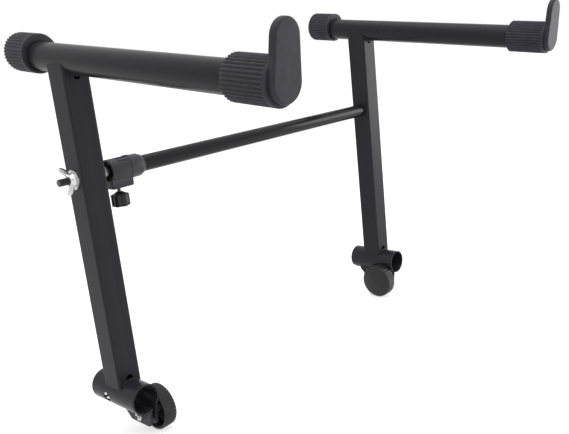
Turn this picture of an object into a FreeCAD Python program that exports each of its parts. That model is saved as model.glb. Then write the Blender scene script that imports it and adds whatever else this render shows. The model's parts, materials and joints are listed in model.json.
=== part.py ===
import FreeCAD, Part
import math
import os
import re
import Sketcher

# A clamp-on upper tier for a folding keyboard stand.
# Two equal side units, each an arm on a short upright with a split clamp sleeve at its foot,
# are joined by a crossbar that slides in and out and on which the left unit turns.
#
# Frame: millimetres, +Z up, +Y to the rear, +X to the right seen from the player.
# Origin: the middle of the right unit's clamp bore. The bores run along Y, the uprights stand
# along Z, and the arms drop towards the player by the arm tilt.
# On each side unit "inward" is the way to the other unit.

Vector = FreeCAD.Vector
X_AXIS = Vector(1, 0, 0)
Y_AXIS = Vector(0, 1, 0)

# name, millimetres (degrees for angles, plain for counts), meaning
SIZES = [
    ("side_spacing", 518.0, "between the middle planes of the two side units"),
    ("arm_height", 376.0, "clamp bore axis to arm axis, along the upright"),
    ("arm_tilt", 7.0, "degrees that the arms drop towards the player"),
    ("arm_diameter", 30.0, "arm tube, outside"),
    ("arm_wall", 1.5, "arm tube wall"),
    ("arm_front", 290.0, "upright axis to the arm tube's front end"),
    ("arm_rear", 85.0, "upright axis to the arm tube's rear end"),
    ("upright_width", 30.0, "square upright tube, outside"),
    ("upright_wall", 1.5, "upright tube wall"),
    ("upright_corner", 2.5, "outside corner radius of the upright tube"),
    ("cope_margin", 4.0, "how far the upright's side walls stop short of a full saddle"),
    ("vent_radius", 4.5, "vent holes at the top and foot of the upright's front wall"),
    ("cap_wall", 6.0, "rear cap's wall, halfway up"),
    ("cap_length", 40.5, "rear cap, overall"),
    ("cap_end_wall", 4.5, "rear cap's closed end"),
    ("cap_rise", 2.4, "rear cap's outside above the tube's axis"),
    ("cap_ribs", 36, "grooves round the rear cap"),
    ("cap_ring", 4.0, "smooth ring at the rear cap's mouth"),
    ("cap_rounding", 3.0, "rounding of the rear cap's closed end"),
    ("stop_wall", 5.0, "front stop sleeve's wall, halfway up"),
    ("stop_length", 49.0, "front stop sleeve, overall without its lip"),
    ("stop_end_wall", 5.0, "front stop's closed end behind its lip"),
    ("stop_rise", 0.65, "front stop's outside above the tube's axis"),
    ("stop_ribs", 36, "grooves round the front stop"),
    ("stop_ring", 3.5, "smooth ring at the front stop's closed end"),
    ("groove_radius", 1.1, "radius of the grip grooves"),
    ("groove_depth", 0.8, "depth of the grip grooves"),
    ("lip_thickness", 6.0, "front stop's raised lip"),
    ("lip_foot_radius", 16.8, "round foot of the lip's outline"),
    ("lip_head_radius", 14.5, "round head of the lip's outline"),
    ("lip_rise", 33.5, "between the centres of the lip's foot and head"),
    ("lip_rounding", 2.0, "rounding of the lip's edges"),
    ("bore_diameter", 32.0, "clamp sleeve bore"),
    ("sleeve_wall", 1.8, "clamp sleeve wall"),
    ("sleeve_length", 80.0, "clamp sleeve along its bore"),
    ("sight_radius", 5.8, "two round holes in the sleeve"),
    ("sight_rear", 12.0, "outer side's hole behind the upright axis"),
    ("sight_angle", 12.0, "that hole's direction below level, in degrees"),
    ("drain_rear", 31.0, "underside's hole behind the upright axis"),
    ("drain_angle", 72.0, "that hole's direction below level, in degrees"),
    ("ear_thickness", 3.0, "steel ears under the sleeve"),
    ("ear_start", 4.0, "outer ear's outer face, inward of the middle plane"),
    ("ear_gap", 5.0, "between the two ears"),
    ("ear_reach", 21.2, "sleeve's underside to the ears' bottom edge"),
    ("ear_front_root", 38.5, "ears' front edge at the sleeve, before the upright axis"),
    ("ear_front_foot", 34.5, "ears' front bottom corner, before the upright axis"),
    ("ear_rear_foot", 2.0, "ears' rear bottom corner, behind the upright axis"),
    ("ear_rear_root", 24.0, "ears' rear edge at the sleeve, behind the upright axis"),
    ("ear_rounding", 4.0, "rounding of the ears' bottom corners"),
    ("screw_diameter", 6.0, "clamp screw"),
    ("screw_forward", 20.0, "clamp screw before the upright axis"),
    ("screw_below", 9.2, "clamp screw's axis below the sleeve's underside"),
    ("screw_tail", 2.5, "clamp screw past its nut"),
    ("screw_head_radius", 5.0, "clamp screw head, moulded into the knob"),
    ("screw_head_height", 4.0, "clamp screw head"),
    ("nut_flats", 10.0, "clamp nut across flats"),
    ("nut_height", 5.0, "clamp nut"),
    ("washer_radius", 6.2, "clamp washer"),
    ("washer_thickness", 1.5, "clamp washer"),
    ("hole_clearance", 0.3, "radial room of a screw in a plain hole"),
    ("thread_clearance", 0.05, "radial room of a screw in its nut"),
    ("knob_radius", 26.0, "clamp knob"),
    ("knob_room", 0.7, "clamp knob's rim beside the sleeve"),
    ("knob_thickness", 20.0, "clamp knob, rim to crown"),
    ("knob_wall", 3.2, "clamp knob's rim and face"),
    ("knob_crown", 3.0, "rise of the clamp knob's domed face"),
    ("knob_hub_radius", 8.0, "clamp knob's inner hub"),
    ("knob_draft", 1.0, "taper of the knob's hub and rim inside"),
    ("knob_edge", 2.0, "bevel round the knob's face"),
    ("head_cover", 1.0, "knob over the screw head, at its edge"),
    ("knob_ribs", 36, "grooves round the clamp knob"),
    ("bar_wall", 2.0, "crossbar tube wall"),
    ("bar_drop", 123.0, "arm axis to crossbar axis, along the upright"),
    ("rod_diameter", 14.0, "inner rod"),
    ("rod_wall", 2.0, "inner rod wall"),
    ("rod_cover", 215.0, "inner rod's length inside collar and crossbar at rest"),
    ("rod_clearance", 0.08, "radial room of the inner rod in the collar"),
    ("rod_room", 0.5, "radial room of the inner rod in the crossbar tube"),
    ("collar_gap", 10.0, "left upright's inner face to the collar at rest"),
    ("collar_wall", 3.5, "collar over the crossbar tube"),
    ("collar_grip", 27.4, "collar's clamping part, over the rod"),
    ("collar_neck", 18.0, "collar's neck, over the crossbar tube"),
    ("collar_taper", 5.0, "length of the neck's tapered end"),
    ("collar_mouth", 3.0, "collar wall round the bottom of its hollow mouth"),
    ("mouth_flare", 1.0, "widening of the hollow mouth to its rim"),
    ("collar_mouth_depth", 5.0, "depth of the collar's hollow mouth"),
    ("collar_band", 0.8, "height of the band between grip and neck, and the rim's bevel"),
    ("collar_band_width", 5.0, "width of that band"),
    ("neck_end_wall", 1.2, "collar wall left at the neck's end"),
    ("boss_height", 7.0, "collar barrel to the underside of its boss"),
    ("boss_root", 3.0, "rod to the boss's hidden top"),
    ("boss_width", 17.0, "collar's boss, front to rear"),
    ("boss_rounding", 2.0, "rounding of the boss's upright edges"),
    ("lock_diameter", 4.0, "lock screw"),
    ("lock_inset", 11.8, "lock screw's axis from the collar's end"),
    ("lock_gap", 4.5, "boss underside to lock knob"),
    ("lock_knob_radius", 10.2, "lock knob over its lobes"),
    ("lock_knob_height", 16.3, "lock knob with its cone"),
    ("lock_knob_cone", 3.0, "height of the lock knob's cone"),
    ("lock_knob_neck", 1.2, "flat ring at the top of that cone"),
    ("lock_knob_edge", 1.0, "bevels of the lock knob"),
    ("lock_knob_face", 3.0, "lock knob under its screw"),
    ("lock_knob_lobes", 6, "lobes of the lock knob"),
    ("lock_knob_scallop", 3.2, "radius of the scallops between the lobes"),
    ("lock_seat", 0.1, "lock screw's tip to the rod"),
    ("insert_flats", 7.0, "nut in the boss, across flats"),
    ("insert_height", 3.2, "nut in the boss"),
    ("screw_bevel", 0.6, "bevel at the ends of the screws and the stud"),
    ("stud_diameter", 8.0, "pivot stud"),
    ("stud_reach", 34.0, "left middle plane to the stud's outer end"),
    ("stud_depth", 16.0, "pivot stud inside the rod's insert"),
    ("rod_insert_length", 20.0, "threaded insert in the rod's end"),
    ("pivot_washer_radius", 11.0, "washer between rod and upright"),
    ("pivot_washer_thickness", 1.5, "washer between rod and upright"),
    ("wing_washer_radius", 10.6, "washer under the wing nut"),
    ("wing_washer_thickness", 1.6, "washer under the wing nut"),
    ("face_room", 0.1, "room between flat faces that turn on each other"),
    ("wing_foot_wall", 4.0, "wing nut's wall at its foot"),
    ("wing_top_wall", 2.3, "wing nut's wall at its top"),
    ("wing_foot_height", 1.5, "straight foot of the wing nut's hub"),
    ("wing_edge", 0.8, "bevel round the top of the hub"),
    ("wing_hub_height", 6.0, "wing nut's hub"),
    ("wing_span", 15.0, "wing nut's axis to a wing's tip"),
    ("wing_height", 13.6, "wing nut's foot to the wings' tips"),
    ("wing_thickness", 3.0, "wing nut's wings"),
    ("wing_turn", 22.0, "degrees that the upper wing leans to the rear"),
    ("weld_radius", 2.0, "weld beads"),
    ("bar_weld_radius", 2.2, "weld bead round the crossbar"),
    ("foot_height", 10.6, "bore axis to the upright's trimmed foot"),
    ("cut_room", 1.0, "how far a cut runs past what it cuts"),
]

# Formulas that are worked out from the sizes.
DERIVED = {
    "left_middle": "-side_spacing",
    "right_middle": "0",
    "arm_radius": "arm_diameter / 2",
    "upright_half": "upright_width / 2",
    "bore_radius": "bore_diameter / 2",
    "sleeve_radius": "bore_radius + sleeve_wall",
    "cap_radius": "arm_radius + cap_wall",
    "stop_radius": "arm_radius + stop_wall",
    "cap_mouth": "arm_rear + cap_end_wall - cap_length",
    "stop_front": "arm_front + stop_end_wall",
    "ear_top": "bore_radius / 2",
    "ear_depth": "sleeve_radius + ear_reach",
    "ear_middle": "ear_start + ear_thickness / 2",
    "inner_ear_middle": "ear_start + ear_gap + ear_thickness * 3 / 2",
    "ears_end": "ear_start + ear_gap + ear_thickness * 2",
    "screw_radius": "screw_diameter / 2",
    "screw_drop": "sleeve_radius + screw_below",
    "knob_start": "sleeve_radius + knob_room",
    "knob_end": "knob_start + knob_thickness",
    "screw_head_start": "knob_end - knob_crown - head_cover - screw_head_height",
    "bar_radius": "rod_radius + rod_room + bar_wall",
    "collar_radius": "bar_radius + collar_wall",
    "boss_drop": "collar_radius + boss_height",
    "bar_height": "arm_height - bar_drop",
    "rod_radius": "rod_diameter / 2",
    "rod_bore": "rod_radius - rod_wall",
    "left_face": "left_middle + upright_half",
    "collar_start": "left_face + collar_gap",
    "bar_start": "collar_start + collar_grip",
    "collar_length": "collar_grip + collar_neck",
    "rod_start": "left_face + face_room + pivot_washer_thickness",
    "rod_length": "collar_start - rod_start + rod_cover",
    "stud_radius": "stud_diameter / 2",
    "lock_radius": "lock_diameter / 2",
    "lock_knob_top": "boss_drop + lock_gap",
    "wing_seat": "upright_half + face_room + wing_washer_thickness",
    "wing_foot_radius": "stud_radius + wing_foot_wall",
    "wing_top_radius": "stud_radius + wing_top_wall",
    "weld_reach": "upright_half - upright_corner",
}

NUMBERS = {name: number for name, number, meaning in SIZES}

doc = FreeCAD.newDocument("upper_tier")
sheet = doc.addObject("Spreadsheet::Sheet", "Sizes")
pieces = []


def fill_sheet():
    """Writes each size's name, number and meaning on a row, and names the number's cell."""
    for row, (name, number, meaning) in enumerate(SIZES, start=1):
        sheet.set(f"A{row}", name)
        sheet.set(f"B{row}", str(number))
        sheet.set(f"C{row}", meaning)
        sheet.setAlias(f"B{row}", name)
    doc.recompute()


def formula(text):
    """Turns the sizes' names in a formula into references to the sheet."""
    def reference(match):
        word = match.group(0)
        if word in DERIVED:
            return "(" + formula(DERIVED[word]) + ")"
        return "Sizes." + word if word in NUMBERS else word
    return re.sub(r"[a-z_]+", reference, str(text))


def number(text):
    """What a formula comes to now."""
    return float(doc.Objects[-1].evalExpression(formula(text)))


def bind(thing, **formulas):
    """Ties properties of an object to formulas. Two underscores stand for a dot."""
    for name, text in formulas.items():
        thing.setExpression(name.replace("__", "."), formula(text))


def new_body(label, at=("0", "0", "0"), axis=X_AXIS, angle="0"):
    """A new piece, placed at three formulas and turned about an axis."""
    body = doc.addObject("PartDesign::Body", label)
    body.Label = label
    body.Placement = FreeCAD.Placement(Vector(), FreeCAD.Rotation(axis, number(angle)))
    bind(body, Placement__Base__x=at[0], Placement__Base__y=at[1], Placement__Base__z=at[2])
    if angle != "0":
        bind(body, Placement__Rotation__Angle=angle)
    pieces.append(body)
    return body


def origin_part(body, role):
    """The body's own origin plane or axis with this role."""
    return next(part for part in body.Origin.OriginFeatures if part.Role == role)


def new_sketch(body, role="XY_Plane", lift="0"):
    """A sketch on one of the body's own planes, moved along the plane's normal."""
    sketch = body.newObject("Sketcher::SketchObject", "Sketch")
    sketch.AttachmentSupport = [(origin_part(body, role), "")]
    sketch.MapMode = "FlatFace"
    bind(sketch, AttachmentOffset__Base__z=lift)
    return sketch


def dimension(sketch, constraint, text):
    """Adds a named dimension and ties it to a formula."""
    index = sketch.addConstraint(constraint)
    name = f"size{index}"
    sketch.renameConstraint(index, name)
    sketch.setExpression(f"Constraints.{name}", formula(text))


def fix_point(sketch, line, end, across, up):
    """Fixes a point of a sketch at two formulas from the sketch's origin."""
    for kind, text, axis in (("DistanceX", across, -2), ("DistanceY", up, -1)):
        distance = number(text)
        if abs(distance) < 1e-9:
            sketch.addConstraint(Sketcher.Constraint("PointOnObject", line, end, axis))
        elif distance > 0:
            rule = Sketcher.Constraint(kind, -1, 1, line, end, distance)
            dimension(sketch, rule, text)
        else:
            rule = Sketcher.Constraint(kind, line, end, -1, 1, -distance)
            dimension(sketch, rule, f"-({text})")


def add_circle(sketch, radius, across="0", up="0"):
    """A circle whose centre and radius are formulas."""
    centre = Vector(number(across), number(up), 0)
    line = sketch.addGeometry(Part.Circle(centre, Vector(0, 0, 1), number(radius)), False)
    fix_point(sketch, line, 3, across, up)
    dimension(sketch, Sketcher.Constraint("Radius", line, number(radius)), radius)


def add_polygon(sketch, corners):
    """A closed outline of straight lines through corners given as pairs of formulas."""
    points = [Vector(number(across), number(up), 0) for across, up in corners]
    first = sketch.GeometryCount
    for start, end in zip(points, points[1:] + points[:1]):
        sketch.addGeometry(Part.LineSegment(start, end), False)
    count = len(points)
    for step in range(count):
        after = first + (step + 1) % count
        sketch.addConstraint(Sketcher.Constraint("Coincident", first + step, 2, after, 1))
    for step, (across, up) in enumerate(corners):
        fix_point(sketch, first + step, 1, across, up)


def add_hexagon(sketch, flats, up="0", first_corner=30):
    """A hexagon about a point on the sketch's upright axis, with a corner at this angle."""
    point = f"{flats} / 2 / cos(30)"
    add_polygon(sketch, [(f"{point} * cos({angle})", f"{up} + {point} * sin({angle})")
                         for angle in range(first_corner, first_corner + 360, 60)])


def pad(sketch, length, side="One side", backwards=False):
    """Thickens a sketch into a solid."""
    feature = sketch.getParentGeoFeatureGroup().newObject("PartDesign::Pad", "Pad")
    feature.Profile = sketch
    feature.SideType = side
    feature.Reversed = backwards
    bind(feature, Length=length)
    return feature


def pocket(sketch, length, side="One side", backwards=False):
    """Cuts a sketch's shape out of the solid. Fails if nothing is cut."""
    body = sketch.getParentGeoFeatureGroup()
    doc.recompute()
    before = body.Shape.Volume
    feature = body.newObject("PartDesign::Pocket", "Pocket")
    feature.Profile = sketch
    feature.SideType = side
    feature.Reversed = backwards
    bind(feature, Length=length)
    doc.recompute()
    if body.Shape.Volume > before - 0.01:
        raise ValueError(f"{body.Label}: a pocket cut nothing")
    return feature


def revolve(sketch):
    """Turns a profile once round the sketch's upright axis."""
    feature = sketch.getParentGeoFeatureGroup().newObject("PartDesign::Revolution", "Turned")
    feature.Profile = sketch
    feature.ReferenceAxis = (sketch, ["V_Axis"])
    feature.Angle = 360
    return feature


def groove(sketch):
    """Cuts a profile away once round the sketch's upright axis."""
    feature = sketch.getParentGeoFeatureGroup().newObject("PartDesign::Groove", "TurnedCut")
    feature.Profile = sketch
    feature.ReferenceAxis = (sketch, ["V_Axis"])
    feature.Angle = 360
    return feature


def round_bar_cut(body, radius, length, at, axis=X_AXIS, angle="0"):
    """Cuts a round bar away, starting at three formulas and running along its turned axis."""
    doc.recompute()
    before = body.Shape.Volume
    cut = body.newObject("PartDesign::SubtractiveCylinder", "RoundCut")
    cut.Placement = FreeCAD.Placement(Vector(), FreeCAD.Rotation(axis, number(angle)))
    bind(cut, Radius=radius, Height=length)
    bind(cut, Placement__Base__x=at[0], Placement__Base__y=at[1], Placement__Base__z=at[2])
    if angle != "0":
        bind(cut, Placement__Rotation__Angle=angle)
    doc.recompute()
    if body.Shape.Volume > before - 0.01:
        raise ValueError(f"{body.Label}: a round cut took nothing away")


def round_edges(body, radius, wanted):
    """Rounds the edges that a test picks out."""
    doc.recompute()
    base = body.Tip
    names = [f"Edge{place}" for place, edge in enumerate(base.Shape.Edges, start=1) if wanted(edge)]
    feature = body.newObject("PartDesign::Fillet", "Rounding")
    feature.Base = (base, names)
    bind(feature, Radius=radius)


def repeat_around(body, feature, count):
    """Repeats a feature evenly round the body's own Z axis."""
    pattern = body.newObject("PartDesign::PolarPattern", "Round")
    pattern.Originals = [feature]
    pattern.Axis = (origin_part(body, "Z_Axis"), [""])
    pattern.Angle = 360
    bind(pattern, Occurrences=count)
    body.Tip = pattern


def edge_along(edge, direction):
    """Whether an edge is straight and runs along a direction."""
    if not isinstance(edge.Curve, Part.Line):
        return False
    return abs(edge.Curve.Direction.dot(direction)) > 0.999


def add_ribs(body, radius, count, start, length):
    """Grip grooves along Z round a cylinder about the body's own axis."""
    sketch = new_sketch(body, "XY_Plane", start)
    add_circle(sketch, "groove_radius", f"{radius} + groove_radius - groove_depth", "0")
    cut = pocket(sketch, length, backwards=True)
    repeat_around(body, cut, count)


def arm_place(middle, rise="0"):
    """Where a piece on the arm has its own origin: on the arm's axis, or above it by a rise."""
    return (middle, f"-({rise}) * sin(arm_tilt)", f"arm_height + ({rise}) * cos(arm_tilt)")


# The arm pieces have their own Z along the arm to the rear, and their own -Y up.
ARM_TURN = "arm_tilt - 90"


def make_arm_tube(side, middle):
    """The round tube that carries the keyboard."""
    body = new_body(f"{side}_arm_tube", arm_place(middle), X_AXIS, ARM_TURN)
    sketch = new_sketch(body, "XY_Plane", "-arm_front")
    add_circle(sketch, "arm_radius")
    add_circle(sketch, "arm_radius - arm_wall")
    pad(sketch, "arm_front + arm_rear")


def make_rear_cap(side, middle):
    """The ribbed rubber cap over the arm's rear end."""
    body = new_body(f"{side}_rear_cap", arm_place(middle, "cap_rise"), X_AXIS, ARM_TURN)
    outside = new_sketch(body, "XY_Plane", "cap_mouth")
    add_circle(outside, "cap_radius")
    pad(outside, "cap_length")
    end = number("arm_rear + cap_end_wall")
    round_edges(body, "cap_rounding", lambda edge: edge.BoundBox.ZMin > end - 0.01)
    bore = new_sketch(body, "XY_Plane", "cap_mouth")
    add_circle(bore, "arm_radius", "0", "cap_rise")
    pocket(bore, "cap_length - cap_end_wall", backwards=True)
    add_ribs(body, "cap_radius", "cap_ribs", "cap_mouth + cap_ring", "cap_length - cap_ring")


def make_front_stop(side, middle):
    """The ribbed rubber sleeve over the arm's front end, with the lip that holds the keyboard."""
    body = new_body(f"{side}_front_stop", arm_place(middle, "stop_rise"), X_AXIS, ARM_TURN)
    outside = new_sketch(body, "XY_Plane", "-stop_front")
    add_circle(outside, "stop_radius")
    pad(outside, "stop_length")
    lip = new_sketch(body, "XY_Plane", "-stop_front - lip_thickness")
    add_lip_outline(lip)
    pad(lip, "lip_thickness")
    face = -number("stop_front + lip_thickness")
    round_edges(body, "lip_rounding", lambda edge: edge.BoundBox.ZMax < face + 0.01)
    bore = new_sketch(body, "XY_Plane", "-stop_front + stop_length")
    add_circle(bore, "arm_radius", "0", "stop_rise")
    pocket(bore, "stop_length - stop_end_wall")
    add_ribs(body, "stop_radius", "stop_ribs", "-stop_front + stop_ring", "stop_length - stop_ring")


def add_lip_outline(sketch):
    """A foot circle and a smaller head circle above it, joined by the lines that touch both."""
    foot = number("lip_foot_radius")
    head = number("lip_head_radius")
    head_centre = Vector(0, -number("lip_rise"), 0)
    lean = math.asin((foot - head) / number("lip_rise"))
    normal = Vector(math.cos(lean), -math.sin(lean), 0)
    mirrored = Vector(-normal.x, normal.y, 0)
    up = Vector(0, 0, 1)
    arcs = (
        Part.ArcOfCircle(Part.Circle(Vector(), up, foot), -lean, math.pi + lean),
        Part.ArcOfCircle(Part.Circle(head_centre, up, head), math.pi + lean, 2 * math.pi - lean),
    )
    for arc in arcs:
        sketch.addGeometry(arc, False)
    sketch.addGeometry(Part.LineSegment(mirrored * foot, head_centre + mirrored * head), False)
    sketch.addGeometry(Part.LineSegment(head_centre + normal * head, normal * foot), False)
    for start, start_end, after, after_end in ((0, 2, 2, 1), (2, 2, 1, 1), (1, 2, 3, 1), (3, 2, 0, 1)):
        sketch.addConstraint(Sketcher.Constraint("Tangent", start, start_end, after, after_end))
    fix_point(sketch, 0, 3, "0", "0")
    fix_point(sketch, 1, 3, "0", "-lip_rise")
    dimension(sketch, Sketcher.Constraint("Radius", 0, foot), "lip_foot_radius")
    dimension(sketch, Sketcher.Constraint("Radius", 1, head), "lip_head_radius")


def make_upright(side, middle):
    """The square tube, coped to the arm at its top and to the clamp sleeve at its foot."""
    body = new_body(f"{side}_upright", (middle, "0", "0"))
    outside = new_sketch(body, "XY_Plane", "foot_height")
    add_square(outside, "upright_half")
    height = "arm_height - cope_margin - foot_height"
    pad(outside, height)
    round_edges(body, "upright_corner", lambda edge: edge_along(edge, Vector(0, 0, 1)))
    inside = new_sketch(body, "XY_Plane", "foot_height")
    add_square(inside, "upright_half - upright_wall")
    pocket(inside, height, backwards=True)
    inner = number("upright_half - upright_wall")

    def inner_corner(edge):
        box = edge.BoundBox
        return edge_along(edge, Vector(0, 0, 1)) and abs(abs(box.XMin) - inner) < 0.01 \
            and abs(abs(box.YMin) - inner) < 0.01

    round_edges(body, "upright_corner - upright_wall", inner_corner)
    reach = "upright_width"
    arm_end = ("0", f"-{reach} * cos(arm_tilt)", f"arm_height - {reach} * sin(arm_tilt)")
    round_bar_cut(body, "arm_radius", f"2 * {reach}", arm_end, X_AXIS, ARM_TURN)
    round_bar_cut(body, "sleeve_radius", f"2 * {reach}", ("0", f"-{reach}", "0"), X_AXIS, "-90")
    vent_start = "-upright_half - cut_room"
    under_arm = "arm_height - arm_radius - upright_half * tan(arm_tilt)"
    for level in (under_arm, "sleeve_radius + vent_radius / 2"):
        round_bar_cut(body, "vent_radius", "upright_wall + 2 * cut_room",
                      ("0", vent_start, level), X_AXIS, "-90")
    if side == "left":
        round_bar_cut(body, "stud_radius + hole_clearance", "upright_width + 2 * cut_room",
                      ("-upright_half - cut_room", "0", "bar_height"), Y_AXIS, "90")


def add_square(sketch, half):
    """A square about the sketch's origin."""
    low = f"-({half})"
    add_polygon(sketch, [(low, low), (half, low), (half, half), (low, half)])


def make_clamp_sleeve(side, middle, inward):
    """The split sleeve that grips an arm of the stand below."""
    body = new_body(f"{side}_clamp_sleeve", (middle, "0", "0"))
    ring = new_sketch(body, "XZ_Plane")
    add_circle(ring, "sleeve_radius")
    add_circle(ring, "bore_radius")
    pad(ring, "sleeve_length", "Symmetric")
    slit = new_sketch(body, "XZ_Plane")
    near = f"{inward} * (ear_start + ear_thickness)"
    far = f"{inward} * (ear_start + ear_thickness + ear_gap)"
    low = "-sleeve_radius - cut_room"
    high = "-ear_top"
    add_polygon(slit, [(near, low), (far, low), (far, high), (near, high)])
    pocket(slit, "sleeve_length + 2 * cut_room", "Symmetric")
    for rear, angle in (("sight_rear", "sight_angle"), ("drain_rear", "drain_angle")):
        round_bar_cut(body, "sight_radius", "sleeve_radius + cut_room", ("0", rear, "0"),
                      Y_AXIS, f"-{inward} * (90 + {angle})")


def make_clamp_ears(side, middle, inward):
    """The two steel plates under the sleeve that the clamp screw pulls together."""
    for name, place in (("outer", "ear_middle"), ("inner", "inner_ear_middle")):
        body = new_body(f"{side}_{name}_ear", (f"{middle} + {inward} * {place}", "0", "0"))
        outline = new_sketch(body, "YZ_Plane")
        add_polygon(outline, [
            ("-ear_front_root", "-ear_top"),
            ("-ear_front_foot", "-ear_depth"),
            ("ear_rear_foot", "-ear_depth"),
            ("ear_rear_root", "-bore_radius"),
            ("ear_rear_root", "-ear_top"),
        ])
        pad(outline, "ear_thickness", "Symmetric")
        bottom = -number("ear_depth")
        round_edges(body, "ear_rounding",
                    lambda edge: edge_along(edge, X_AXIS) and edge.BoundBox.ZMin < bottom + 0.01)
        to_middle = f"-({inward} * {place})"
        round_bar_cut(body, "sleeve_radius", "sleeve_length + 2 * cut_room",
                      (to_middle, "-sleeve_length / 2 - cut_room", "0"), X_AXIS, "-90")
        round_bar_cut(body, "screw_radius + hole_clearance", "ear_thickness + 2 * cut_room",
                      ("-ear_thickness / 2 - cut_room", "-screw_forward", "-screw_drop"),
                      Y_AXIS, "90")


def screw_body(label, middle, inward):
    """A body on the clamp screw's axis, with its own Z pointing inward from the middle plane."""
    return new_body(label, (middle, "-screw_forward", "-screw_drop"), Y_AXIS, f"{inward} * 90")


def make_hex_nut(body, flats, top, height, bore):
    """A hexagon nut from a level down, with its outer corners turned off."""
    plan = new_sketch(body, "XY_Plane", f"{top} - ({height})")
    add_hexagon(plan, flats)
    add_circle(plan, bore)
    pad(plan, height)
    corner = f"{flats} / 2 / cos(30)"
    flat = f"{flats} / 2"
    low = f"{top} - ({height})"
    rise = f"({corner} - {flat} + cut_room) * tan(30)"
    chamfer = new_sketch(body, "XZ_Plane")
    add_polygon(chamfer, [(flat, low), (f"{corner} + cut_room", low),
                          (f"{corner} + cut_room", f"{low} + {rise}")])
    groove(chamfer)


def make_clamp_screw_set(side, middle, inward):
    """The nut on the outer ear, and the knob, screw and washer that turn together."""
    nut = screw_body(f"{side}_clamp_nut", middle, inward)
    make_hex_nut(nut, "nut_flats", "ear_start", "nut_height", "screw_radius + thread_clearance")
    screw = screw_body(f"{side}_clamp_screw", middle, inward)
    profile = new_sketch(screw, "XZ_Plane")
    tail = "ear_start - nut_height - screw_tail"
    head = "screw_head_start"
    add_polygon(profile, [
        ("0", tail),
        ("screw_radius - screw_bevel", tail),
        ("screw_radius", f"{tail} + screw_bevel"),
        ("screw_radius", head),
        ("screw_head_radius", head),
        ("screw_head_radius", f"{head} + screw_head_height"),
        ("0", f"{head} + screw_head_height"),
    ])
    revolve(profile)
    washer = screw_body(f"{side}_clamp_washer", middle, inward)
    ring = new_sketch(washer, "XY_Plane", "ears_end + face_room")
    add_circle(ring, "washer_radius")
    add_circle(ring, "screw_radius")
    pad(ring, "washer_thickness")
    make_clamp_knob(screw_body(f"{side}_clamp_knob", middle, inward))


def make_clamp_knob(body):
    """A round ribbed knob with a domed face, a hollow back and a hub on the screw."""
    profile = new_sketch(body, "XZ_Plane")
    hub_start = "ears_end + face_room + washer_thickness"
    shoulder = "knob_end - knob_crown"
    hollow_end = f"{shoulder} - knob_wall"
    dome = [(f"(knob_radius - knob_edge) * {share}", f"{shoulder} + knob_crown * (1 - {share} ^ 2)")
            for share in (0.75, 0.5, 0.25)]
    add_polygon(profile, [
        ("screw_radius", hub_start),
        ("knob_hub_radius", hub_start),
        ("knob_hub_radius + knob_draft", hollow_end),
        ("knob_radius - knob_wall - knob_draft", hollow_end),
        ("knob_radius - knob_wall", "knob_start"),
        ("knob_radius", "knob_start"),
        ("knob_radius", f"{shoulder} - knob_edge"),
        ("knob_radius - knob_edge", shoulder),
        *dome,
        ("0", "knob_end"),
        ("0", "screw_head_start + screw_head_height"),
        ("screw_head_radius", "screw_head_start + screw_head_height"),
        ("screw_head_radius", "screw_head_start"),
        ("screw_radius", "screw_head_start"),
    ])
    revolve(profile)
    add_ribs(body, "knob_radius", "knob_ribs", "knob_start", "knob_thickness - knob_crown")


def plain_solid(kind, label, at, angle="0", **sizes):
    """A block, round bar or ring, placed at three formulas and turned about X."""
    solid = doc.addObject(kind, label)
    solid.Placement = FreeCAD.Placement(Vector(), FreeCAD.Rotation(X_AXIS, number(angle)))
    bind(solid, Placement__Base__x=at[0], Placement__Base__y=at[1], Placement__Base__z=at[2])
    if angle != "0":
        bind(solid, Placement__Rotation__Angle=angle)
    bind(solid, **sizes)
    return solid


def combine(kind, label, base, tool):
    """What two solids have in common, or the first without the second."""
    made = doc.addObject(kind, label)
    made.Base = base
    made.Tool = tool
    return made


def make_weld(label, middle, radius, height, tilt, region_start):
    """Beads where the upright's front and rear walls end on a round tube."""
    rings = doc.addObject("Part::Compound", f"{label}_rings")
    rings.Links = [
        plain_solid("Part::Torus", f"{label}_ring",
                    (middle, f"{sign} * upright_half", f"{height} + {sign} * upright_half * tan({tilt})"),
                    "90", Radius1=radius, Radius2="weld_radius")
        for sign in ("-1", "1")]
    region = plain_solid(
        "Part::Box", f"{label}_region",
        (f"{middle} - weld_reach", "-upright_width", f"{height} + {region_start}"),
        Length="2 * weld_reach", Width="2 * upright_width", Height=f"{radius} + 2 * weld_radius")
    tube = plain_solid(
        "Part::Cylinder", f"{label}_tube",
        (middle, f"-2 * upright_width * cos({tilt})", f"{height} - 2 * upright_width * sin({tilt})"),
        f"{tilt} - 90", Radius=radius, Height="4 * upright_width")
    upright = plain_solid(
        "Part::Box", f"{label}_upright",
        (f"{middle} - upright_half", "-upright_half", f"{height} - upright_width"),
        Length="upright_width", Width="upright_width", Height="2 * upright_width")
    arcs = combine("Part::Common", f"{label}_arcs", rings, region)
    outside = combine("Part::Cut", f"{label}_outside", arcs, tube)
    weld = combine("Part::Cut", label, outside, upright)
    pieces.append(weld)


def make_welds(side, middle):
    """The beads under the arm and over the clamp sleeve."""
    make_weld(f"{side}_arm_weld", middle, "arm_radius", "arm_height", "arm_tilt",
              "-arm_radius - 2 * weld_radius")
    make_weld(f"{side}_sleeve_weld", middle, "sleeve_radius", "0", "0", "0")


def make_side_unit(side, middle, inward):
    """All the pieces of one side unit."""
    make_upright(side, middle)
    make_arm_tube(side, middle)
    make_rear_cap(side, middle)
    make_front_stop(side, middle)
    make_clamp_sleeve(side, middle, inward)
    make_clamp_ears(side, middle, inward)
    make_clamp_screw_set(side, middle, inward)
    make_welds(side, middle)


def bar_body(label, start, sign="1"):
    """A body on the crossbar's axis, with its own Z along X."""
    return new_body(label, (start, "0", "bar_height"), Y_AXIS, f"{sign} * 90")


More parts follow.
